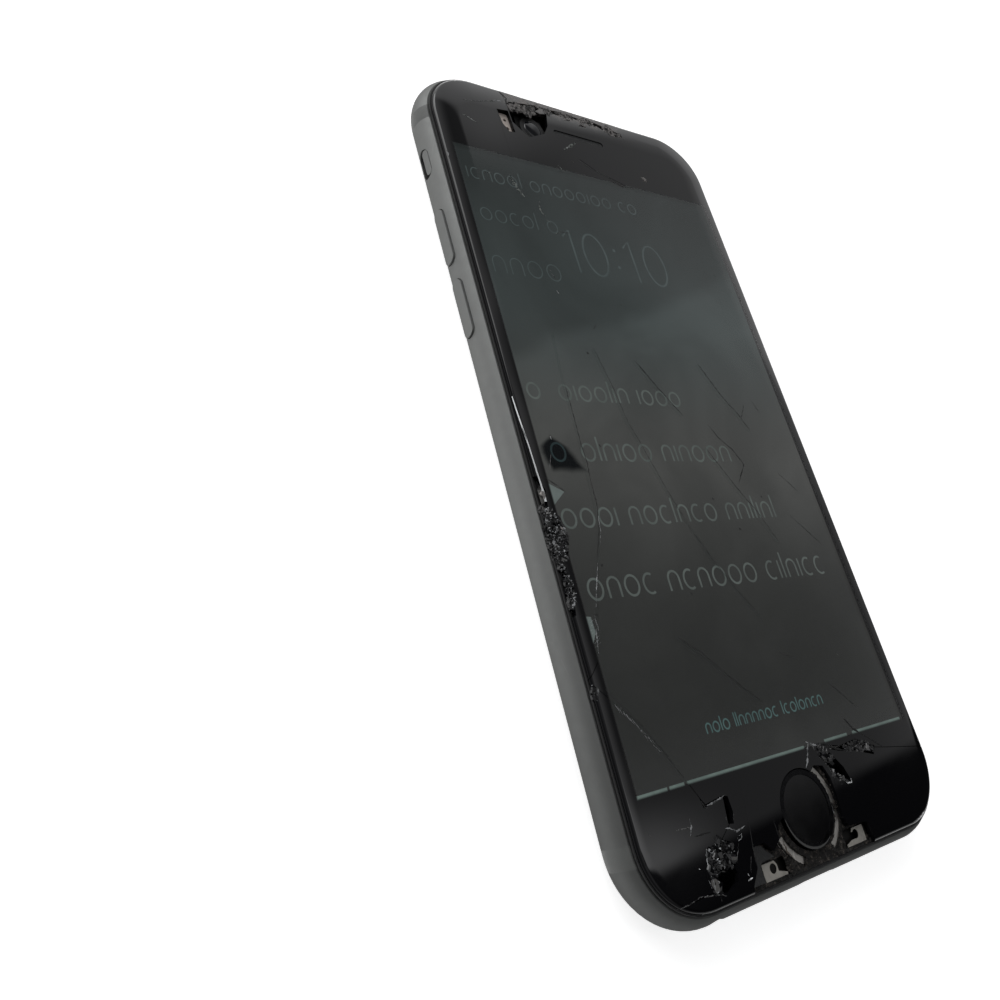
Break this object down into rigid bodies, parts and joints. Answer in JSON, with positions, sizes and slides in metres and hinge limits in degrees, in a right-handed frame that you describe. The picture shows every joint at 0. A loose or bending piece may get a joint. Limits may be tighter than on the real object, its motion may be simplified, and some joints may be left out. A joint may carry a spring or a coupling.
{
  "type": "shattered screen phone",
  "caption": "Slim metal-bodied phone with a cracked and chipped front glass, side buttons that press, a ring switch, a home button and a sliding SIM tray.",
  "frame": {"origin": "centre of the plan, on the surface that the phone lies on, under the rear camera's ring", "axes": "+X to the right seen from the front, +Y towards the earpiece end, +Z out of the screen"},
  "size_m": [0.0676, 0.1383, 0.0077],
  "materials": {
    "anodised_aluminium": "satin anodised, scuffed",
    "band_plastic": "matte",
    "black_glass": "polished, shattered",
    "clear_lens": "polished",
    "black_plastic": "matte",
    "black_rubber": "matte",
    "gloss_black": "polished",
    "bare_steel": "satin",
    "screen": "satin film",
    "white_film": "satin",
    "flex": "satin film",
    "board": "satin",
    "cell": "satin wrap",
    "glue": "crumbled"
  },
  "bodies": {
    "phone": {"rear_housing": "anodised_aluminium", "upper_antenna_band": "band_plastic", "lower_antenna_band": "band_plastic", "volume_switch_flex": "flex", "ring_switch_base": "black_plastic", "power_switch_flex": "flex", "sim_reader": "bare_steel", "front_glass": "black_glass", "glass_adhesive": "glue", "display_frame": "black_plastic", "display_panel": "screen", "backlight_unit": "white_film", "display_shield_plate": "bare_steel", "display_flex_cables": "flex", "home_button_gasket": "black_rubber", "home_button_plate": "bare_steel", "home_button_bracket": "bare_steel", "home_button_flex": "flex", "earpiece_mesh": "black_plastic", "earpiece_speaker": "black_plastic", "front_camera": "black_plastic", "front_camera_lens": "clear_lens", "front_camera_bracket": "bare_steel", "light_sensor": "black_plastic", "sensor_flex": "flex", "battery": "cell", "battery_adhesive": "glue", "battery_lead": "flex", "logic_board": "board", "upper_board_shield": "bare_steel", "middle_board_shield": "bare_steel", "lower_board_shield": "bare_steel", "connector_cover": "bare_steel", "board_screws": "bare_steel", "rear_camera": "black_plastic", "rear_camera_ring": "anodised_aluminium", "rear_camera_lens": "clear_lens", "flash_lens": "clear_lens", "upper_antenna_flex": "flex", "loudspeaker": "black_plastic", "vibration_motor": "bare_steel", "headphone_socket": "black_plastic", "charging_socket": "black_plastic", "dock_flex": "flex", "microphone": "black_plastic", "bottom_screws": "bare_steel"},
    "volume_up": {"volume_up_button": "anodised_aluminium"},
    "volume_down": {"volume_down_button": "anodised_aluminium"},
    "power": {"power_button": "anodised_aluminium"},
    "ring_lever": {"ring_switch": "anodised_aluminium"},
    "home": {"home_button": "gloss_black", "home_button_ring": "bare_steel", "home_button_sensor": "board"},
    "tray": {"sim_tray": "anodised_aluminium"}
  },
  "joints": [
    {"name": "volume_up_press", "type": "slide", "parent": "phone", "child": "volume_up", "axis": [1, 0, 0], "range_m": [0, 0.00025], "stiffness_N_per_m": 5000},
    {"name": "volume_down_press", "type": "slide", "parent": "phone", "child": "volume_down", "axis": [1, 0, 0], "range_m": [0, 0.00025], "stiffness_N_per_m": 5000},
    {"name": "power_press", "type": "slide", "parent": "phone", "child": "power", "axis": [-1, 0, 0], "range_m": [0, 0.00025], "stiffness_N_per_m": 5000},
    {"name": "ring_switch_slide", "type": "slide", "parent": "phone", "child": "ring_lever", "axis": [0, 0, -1], "range_m": [0, 0.001]},
    {"name": "home_press", "type": "slide", "parent": "phone", "child": "home", "axis": [0, 0, -1], "range_m": [0, 0.00025], "stiffness_N_per_m": 5000},
    {"name": "sim_tray_slide", "type": "slide", "parent": "phone", "child": "tray", "axis": [1, 0, 0], "range_m": [0, 0.017]}
  ]
}
